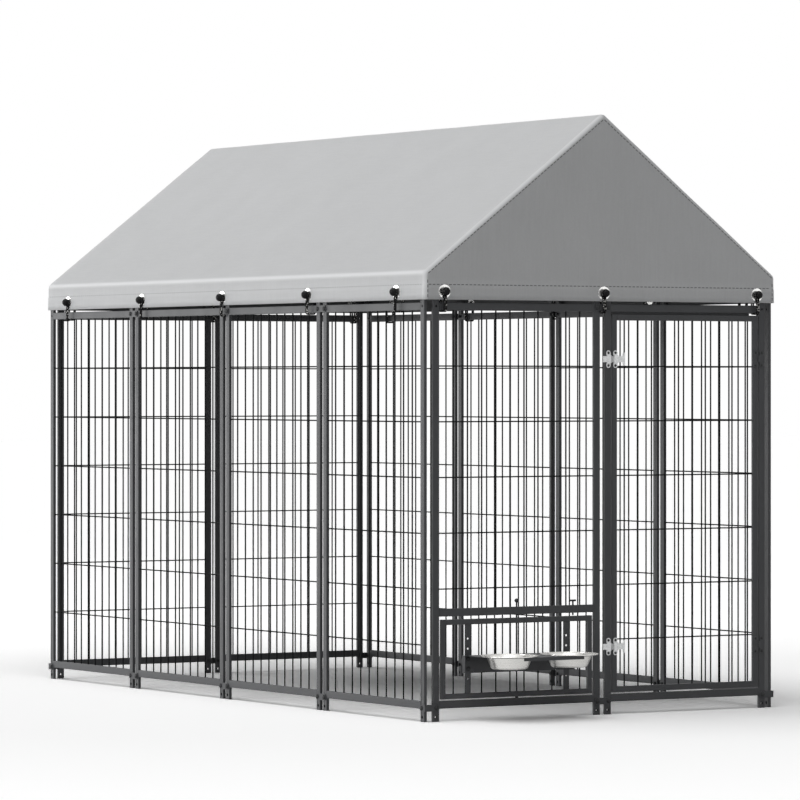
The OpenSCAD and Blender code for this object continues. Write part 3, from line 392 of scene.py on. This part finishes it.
# %% [markdown]
# ## Finishes on the CAD nodes
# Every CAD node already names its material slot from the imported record, so one table
# from slot to finish dresses them all. Only the bowls differ, because the rings of a
# spun bowl are centred on that bowl.

# %% Dress the CAD nodes
finishes = {
    "coated_steel": coated_steel, "black_steel": black_steel, "zinc_plate": zinc_plate,
    "pole_steel": pole_steel, "eyelet_plate": eyelet_plate, "cord_braid": cord_braid,
    "black_plastic": black_plastic, "cover_fabric": cover_canvas,
}
for name, node in nodes.items():
    for slot in node.material_slots:
        slot.material = bowl_finish.get(name) or finishes[slot.material.name.split(".")[0]]
print("dressed", len(nodes), "nodes")

# %% [markdown]
# ## Welded wire
# A panel is a frame of square tube with round bars and thin wires welded into it. Its
# CAD node holds them all, with one finish for the whole node. A second finish could be
# painted by place, but it would spill onto the tubes. So a copy of the mesh stands for
# the node: it is merged, and each of its shells that is thinner than a tube gets the
# darker wire coat, which is painted shade.


# %% Panels with painted shade on their wires
def put(name, mesh, material, smooth=True):
    """Writes a bmesh to an object at the origin, with its finish."""
    data = bpy.data.meshes.new(name)
    mesh.to_mesh(data)
    mesh.free()
    data.materials.append(material)
    for face in data.polygons:
        face.use_smooth = smooth
    piece = bpy.data.objects.new(name, data)
    bpy.context.scene.collection.objects.link(piece)
    return piece


def shells(mesh):
    """The faces of each closed shell of a mesh."""
    left = set(mesh.faces)
    while left:
        shell = edge = {left.pop()}
        while edge:
            edge = {f for face in edge for e in face.edges for f in e.link_faces} & left
            left -= edge
            shell = shell | edge
        yield shell


def spans(shell):
    """The sides of the box round a shell, the shortest first."""
    points = [v.co for face in shell for v in face.verts]
    return sorted(max(p[i] for p in points) - min(p[i] for p in points) for i in range(3))


wire_limit = 8 * MM
crease = math.radians(30)
merge_gap = 0.005 * MM
wired = [name for name in nodes if "panel_" in name]
wired += ["feeder_panel", "door_leaf", "hatch_frame"]
for name in wired:
    panel_mesh = bmesh.new()
    panel_mesh.from_mesh(nodes[name].data)
    bmesh.ops.remove_doubles(panel_mesh, verts=panel_mesh.verts, dist=merge_gap)
    # Shells thinner than a tube get the darker wire coat: painted shade.
    thin = [shell for shell in shells(panel_mesh) if spans(shell)[1] < wire_limit]
    for face in set().union(*thin):
        face.material_index = 1
    panel = put("welded_" + name, panel_mesh, coated_steel)
    panel.data.materials.append(wire_coat_painted_shade)
    panel.data.set_sharp_from_angle(angle=crease)
    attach(panel, body_of(nodes[name])[0])
    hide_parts(name)
    print(panel.name, "has", len(thin), "wires")

# %% [markdown]
# ## The sewn cover
# The real cover is one sewn sheet: two slopes, a skirt all round and two gables. It
# lies over round poles, so every fold is rounded, and it is pulled down by the ball
# cords, so it is taut but not flat. A cloth simulation could drape it, but a taut
# sheet hardly moves, so the folds are bevelled and the sag is worked out.
#
# The sheet starts as the gable's five corners, extruded to the back. The floor of
# that prism is taken away, its folds are bevelled, and planes cut it into a grid that
# is fine enough to bend. The box of the CAD cover gives every corner except the eave,
# whose height is written here as it is in the CAD.

# %% Cover prism
EAVE_Z = 1311 * MM
fold_r = 13 * MM
cover_low, cover_high = (Vector(p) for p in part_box("roof_cover"))
hem_z, ridge_z = cover_low.z, cover_high.z
half_w = cover_high.x
rise = (ridge_z - EAVE_Z) / half_w

sheet_mesh = bmesh.new()
outline = [(-half_w, hem_z), (half_w, hem_z), (half_w, EAVE_Z), (0, ridge_z),
           (-half_w, EAVE_Z)]
corners = [sheet_mesh.verts.new((x, cover_low.y, z)) for x, z in outline]
front = sheet_mesh.faces.new(corners)
pulled = bmesh.ops.extrude_face_region(sheet_mesh, geom=[front], use_keep_orig=True)
bmesh.ops.translate(sheet_mesh, vec=(0, cover_high.y - cover_low.y, 0),
                    verts=[v for v in pulled["geom"] if isinstance(v, bmesh.types.BMVert)])


def at_hem(part):
    """Whether a whole face or edge lies at the hem."""
    return all(abs(v.co.z - hem_z) < MM for v in part.verts)


underside = [f for f in sheet_mesh.faces if at_hem(f)]
bmesh.ops.delete(sheet_mesh, geom=underside, context="FACES_ONLY")
bmesh.ops.recalc_face_normals(sheet_mesh, faces=sheet_mesh.faces)
folds = [e for e in sheet_mesh.edges if not at_hem(e)]
bmesh.ops.bevel(sheet_mesh, geom=folds, offset=fold_r, offset_type="OFFSET",
                affect="EDGES", segments=5, profile=0.5, material=-1)
print("cover prism", len(sheet_mesh.faces), "faces")


# %% Cut the sheet into a grid
def cut(mesh, point, normal):
    """Cuts every face that a plane crosses."""
    everything = mesh.verts[:] + mesh.edges[:] + mesh.faces[:]
    bmesh.ops.bisect_plane(mesh, geom=everything, dist=0.01 * MM,
                           plane_co=point, plane_no=normal)


hem_h = 41 * MM
skirt_cuts = (15 * MM, 30 * MM, hem_h, hem_h + MM, 62 * MM)
columns = 17
rows = 48
for i in range(1, columns):
    x = half_w * i / columns
    z = ridge_z - x * rise
    cut(sheet_mesh, (x, 0, 0), (1, 0, 0))
    cut(sheet_mesh, (-x, 0, 0), (1, 0, 0))
    cut(sheet_mesh, (0, 0, z), (0, 0, 1))
for up in skirt_cuts:
    cut(sheet_mesh, (0, 0, hem_z + up), (0, 0, 1))
for i in range(1, rows):
    y = cover_low.y + (cover_high.y - cover_low.y) * i / rows
    cut(sheet_mesh, (0, y, 0), (0, 1, 0))
print("cover grid", len(sheet_mesh.faces), "faces")

# %% [markdown]
# ## How the sheet hangs
# The slopes sag a few millimetres between the rafters, nothing at the rafters, the
# ridge and the eaves. The skirts swing out slightly between the eyelets, which hold
# them in, and above the doubled hem the single cloth lies a little deeper. One function
# says where any point of the flat sheet ends up, so the stitches can follow it too. The
# places of the eyelets along the walls are also written here as they are in the CAD.

# %% Sag of the sheet
slope_sag = 6 * MM
slope_ripple = 1.2 * MM
gable_sag = 2 * MM
gable_ripple = 2.5 * MM
gable_border = 150 * MM
skirt_swing = 1.2 * MM
swing_from, swing_to = 20 * MM, 160 * MM
hem_step = 0.8 * MM
step_fade = 15 * MM
eyelet_xs = [x * MM for x in (-557.5, 0, 557.5)]
eyelet_steps = (-1048.8, -532.2, 0, 532.2, 1048.8)
eyelet_ys = [middle("roof_cover").y + step * MM for step in eyelet_steps]
rafter_ys = [middle(n).y for n in ("front_rafters", "middle_rafters", "back_rafters")]


def ease(low, high, value):
    """Rises smoothly from 0 at low to 1 at high."""
    t = min(max((value - low) / (high - low), 0), 1)
    return t * t * (3 - 2 * t)


def bay(y):
    """0 at a rafter, 1 half way between two rafters."""
    for a, b in zip(rafter_ys, rafter_ys[1:]):
        if a <= y <= b:
            return math.sin(math.pi * (y - a) / (b - a))
    return 0


def hang(point, normal):
    """Where a point of the taut sheet comes to lie."""
    up_slope = ease(0.2, 0.6, normal.z)
    upright = up_slope < 0.5
    along = 1 - abs(point.x) / half_w
    arch = math.sin(math.pi * min(max(along, 0), 1))
    moved = -slope_sag * up_slope * bay(point.y) * arch
    moved += noise.noise(point * 5) * slope_ripple * up_slope * ease(0.03, 0.15, along)
    if upright and point.z < EAVE_Z:
        on_side = abs(normal.x) > abs(normal.y)
        places = eyelet_ys if on_side else eyelet_xs
        here = point.y if on_side else point.x
        free = ease(swing_from, swing_to, min(abs(here - p) for p in places))
        low = ease(EAVE_Z, hem_z, point.z)
        moved += skirt_swing * low * free * (0.75 + 0.25 * math.sin(here * 11))
        if point.z > hem_z + hem_h + 0.5 * MM:
            moved -= hem_step * ease(EAVE_Z, EAVE_Z - step_fade, point.z)
    elif upright:
        below_edge = ridge_z - point.z - abs(point.x) * rise
        flat = ease(0, gable_border, point.z - EAVE_Z) * ease(0, gable_border, below_edge)
        moved += (noise.noise(point * 4) * gable_ripple - gable_sag) * flat
    return point + normal * moved


flat_normals = [Vector(n).normalized() for n in (
    (1, 0, 0), (-1, 0, 0), (0, 1, 0), (0, -1, 0), (rise, 0, 1), (-rise, 0, 1))]
sheet_mesh.normal_update()
# How far each point lies in a fold, for the painted highlight there.
fold_highlight_amount = sheet_mesh.verts.layers.float.new("fold")
for v in sheet_mesh.verts:
    v[fold_highlight_amount] = ease(0.05, 0.3, min(v.normal.angle(n) for n in flat_normals))
hung = {v: hang(v.co.copy(), v.normal.copy()) for v in sheet_mesh.verts}
for v, place in hung.items():
    v.co = place
print("moved", len(hung), "points of the sheet")


# %% Cover object
cloth_t = 1.0 * MM
cover = put("sewn_roof_cover", sheet_mesh, cover_canvas)
# The inner faces take the dark canvas, painted shade.
cover.data.materials.append(inner_canvas_painted_shade)
wall = cover.modifiers.new("cloth thickness", "SOLIDIFY")
wall.thickness = cloth_t
wall.offset = -1
wall.material_offset = 1
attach(cover, "run")
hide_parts("roof_cover")
print("cover", len(cover.data.polygons), "faces")

# %% [markdown]
# ## Stitching
# A line of lock stitch runs round the skirt at the top of the hem and inside each
# gable edge, in grey thread. On the gables the thread is drawn dark, painted shade of
# the stitches under raking light. Each stitch is a small bar lying on the cloth. The
# stitches are drawn wider than the thread and 14 mm apart, as the picture shows them.

# %% Thread finish
twist_mm = 1.5


def thread_finish(name, dark, light):
    material, tree, place = finish(name)
    twist = add(tree, "ShaderNodeTexNoise", {"Vector": place, "Scale": grains(twist_mm)})
    tone = add(tree, "ShaderNodeValToRGB", {"Fac": twist.outputs["Fac"]})
    tone.color_ramp.elements[0].color = linear(dark)
    tone.color_ramp.elements[1].color = linear(light)
    close(tree, add(tree, "ShaderNodeBsdfPrincipled", {
        "Base Color": tone.outputs["Color"], "Roughness": 0.7}))
    return material


# The dark gable thread is painted shade of the stitches; the grey thread is the thread's
# own colour.
gable_thread_painted_shade = thread_finish("gable_sewing_thread_painted_shade", "#6e6f70", "#7b7c7d")
grey_thread = thread_finish("grey_sewing_thread", "#a6a7a8", "#b0b1b2")
print("made", gable_thread_painted_shade.name, grey_thread.name)

# %% Sew the seams
stitch_pitch = 14 * MM
stitch_l = 9 * MM
stitch_w = 2.6 * MM
stitch_t = 0.8 * MM


def sew(mesh, start, end, normal):
    """Lays stitches from start to end on the hanging sheet."""
    run = end - start
    along = run.normalized()
    across = normal.cross(along)
    for i in range(int(run.length / stitch_pitch)):
        spot = hang(start + along * (i + 0.5) * stitch_pitch, normal)
        sides = Matrix((along * stitch_l, across * stitch_w, normal * stitch_t))
        place = Matrix.Translation(spot) @ sides.transposed().to_4x4()
        bmesh.ops.create_cube(mesh, size=1, matrix=place)


seam_z = hem_z + hem_h + 3 * MM
inset = 12 * MM
tip_inset = 19.2 * MM
below_eave = 6 * MM
seam_gap = 2 * MM
above_hem = 4 * MM
front_y, back_y = cover_low.y, cover_high.y
corner = half_w - fold_r
gable_seams = bmesh.new()
for y, out in ((front_y, Vector((0, -1, 0))), (back_y, Vector((0, 1, 0)))):
    sew(gable_seams, Vector((-corner, y, seam_z)), Vector((corner, y, seam_z)), out)
    tip = Vector((0, y, ridge_z - tip_inset))
    for side in (-1, 1):
        edge = side * (half_w - inset)
        turn_z = EAVE_Z - below_eave
        sew(gable_seams, Vector((edge, y, turn_z)), tip, out)
        sew(gable_seams, Vector((edge, y, hem_z + above_hem)),
            Vector((edge, y, turn_z - seam_gap)), out)
skirt_seams = bmesh.new()
for side in (-1, 1):
    edge = side * half_w
    sew(skirt_seams, Vector((edge, front_y + fold_r, seam_z)),
        Vector((edge, back_y - fold_r, seam_z)), Vector((side, 0, 0)))
stitching = [put("gable_stitching", gable_seams, gable_thread_painted_shade, smooth=False),
             put("skirt_stitching", skirt_seams, grey_thread, smooth=False)]
for seam in stitching:
    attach(seam, "run")
    print(seam.name, len(seam.data.polygons) // 6, "stitches")

# %% [markdown]
# ## What the cover was cut from
# The cover was cut as the two slopes and the two side skirts in one piece, with the
# two gables cut to shape.

# %% [markdown]
# ## Floor, light and background
# A pale floor carries the soft shadow, and pales to white away from the kennel so that
# no horizon shows. A low, broad key light from the left brightens the left side, and a
# softbox behind it shines along the left faces. Two soft top lights, one from the front
# and one from the back, give the shade below the roof, and a weak fill keeps the front
# readable. The white behind is seen by the camera and by reflections alone, so it puts
# hardly any light on the kennel.

# %% Floor
floor_half = 60
floor_grey = 0.8
near_m, far_m = 2.0, 4.5
near_white, far_white = 1.47, 1.67  # above 1, as the lamps give less than full light
dust_mm = 400


def floor_finish(name):
    material, tree, place = finish(name)
    dust = add(tree, "ShaderNodeTexNoise", {
        "Vector": place, "Scale": grains(dust_mm), "Detail": 4.0})
    rays = add(tree, "ShaderNodeLightPath").outputs
    seen = add(tree, "ShaderNodeMath", {
        0: rays["Is Camera Ray"], 1: rays["Is Glossy Ray"]}, operation="MAXIMUM")
    away = add(tree, "ShaderNodeVectorMath", {0: place}, operation="LENGTH")
    paler = add(tree, "ShaderNodeMapRange", {
        "Value": away.outputs["Value"], "From Min": near_m, "From Max": far_m,
        "To Min": near_white, "To Max": far_white})
    white = add(tree, "ShaderNodeCombineColor", {
        "Red": paler.outputs[0], "Green": paler.outputs[0], "Blue": paler.outputs[0]})
    tone = add(tree, "ShaderNodeMix", {
        "Factor": seen.outputs[0], 6: (floor_grey, floor_grey, floor_grey, 1),
        7: white.outputs["Color"]}, data_type="RGBA")
    bump = add(tree, "ShaderNodeBump", {
        "Height": dust.outputs["Fac"], "Strength": 0.02, "Distance": 1 * MM})
    close(tree, add(tree, "ShaderNodeBsdfDiffuse", {
        "Color": tone.outputs[2], "Normal": bump.outputs["Normal"]}))
    return material


floor_mesh = bmesh.new()
bmesh.ops.create_grid(floor_mesh, x_segments=4, y_segments=4, size=floor_half)
floor = put("studio_floor", floor_mesh, floor_finish("matt_white_floor"))
print("floor", floor.name, 2 * floor_half, "m wide")

# %% Suns
def soft_sun(name, energy, spread_deg, towards):
    """A sun lamp as wide as a softbox, shining along a direction."""
    lamp = bpy.data.lights.new(name, "SUN")
    lamp.energy = energy
    lamp.angle = math.radians(spread_deg)
    placed = bpy.data.objects.new(name, lamp)
    placed.rotation_euler = Vector(towards).to_track_quat("-Z", "Y").to_euler()
    bpy.context.scene.collection.objects.link(placed)
    return placed


key = soft_sun("low_key", 1.85, 22, (0.97, -0.08, -0.04))
top = soft_sun("front_top_light", 1.02, 48, (0.29, 0.44, -0.85))
back_top = soft_sun("back_top_light", 0.88, 48, (0.27, -0.22, -0.94))
fill = soft_sun("front_fill", 0.09, 60, (0.05, 0.97, -0.06))
print("suns", key.name, top.name, back_top.name, fill.name)

# %% Softbox behind the left wall
box_place = Vector((-5, 8.5, 1.5))
box_aim = Vector((0, 0, 0.9))
box_data = bpy.data.lights.new("back_softbox", "AREA")
box_data.shape = "RECTANGLE"
box_data.size, box_data.size_y = 8, 3
box_data.energy = 190
softbox = bpy.data.objects.new("back_softbox", box_data)
softbox.location = box_place
softbox.rotation_euler = (box_aim - box_place).to_track_quat("-Z", "Y").to_euler()
bpy.context.scene.collection.objects.link(softbox)
print("softbox", box_data.size, "x", box_data.size_y, "m")

# %% World
room_light = 0.02
world = bpy.data.worlds.new("studio")
world.use_nodes = True
sky = world.node_tree
sky.nodes.clear()
rays = add(sky, "ShaderNodeLightPath")
clear = add(sky, "ShaderNodeMath", {
    0: rays.outputs["Is Glossy Ray"], 1: rays.outputs["Is Transmission Ray"]},
    operation="MAXIMUM")
shown = add(sky, "ShaderNodeMath", {
    0: rays.outputs["Is Camera Ray"], 1: clear.outputs[0]}, operation="MAXIMUM")
level = add(sky, "ShaderNodeMapRange", {
    "Value": shown.outputs[0], "To Min": room_light, "To Max": 1.0})
white = add(sky, "ShaderNodeBackground", {
    "Color": (1, 1, 1, 1), "Strength": level.outputs[0]})
add(sky, "ShaderNodeOutputWorld", {"Surface": white.outputs[0]})
bpy.context.scene.world = world
bpy.context.scene.view_settings.view_transform = "Standard"
print("world", world.name, "view", bpy.context.scene.view_settings.view_transform)
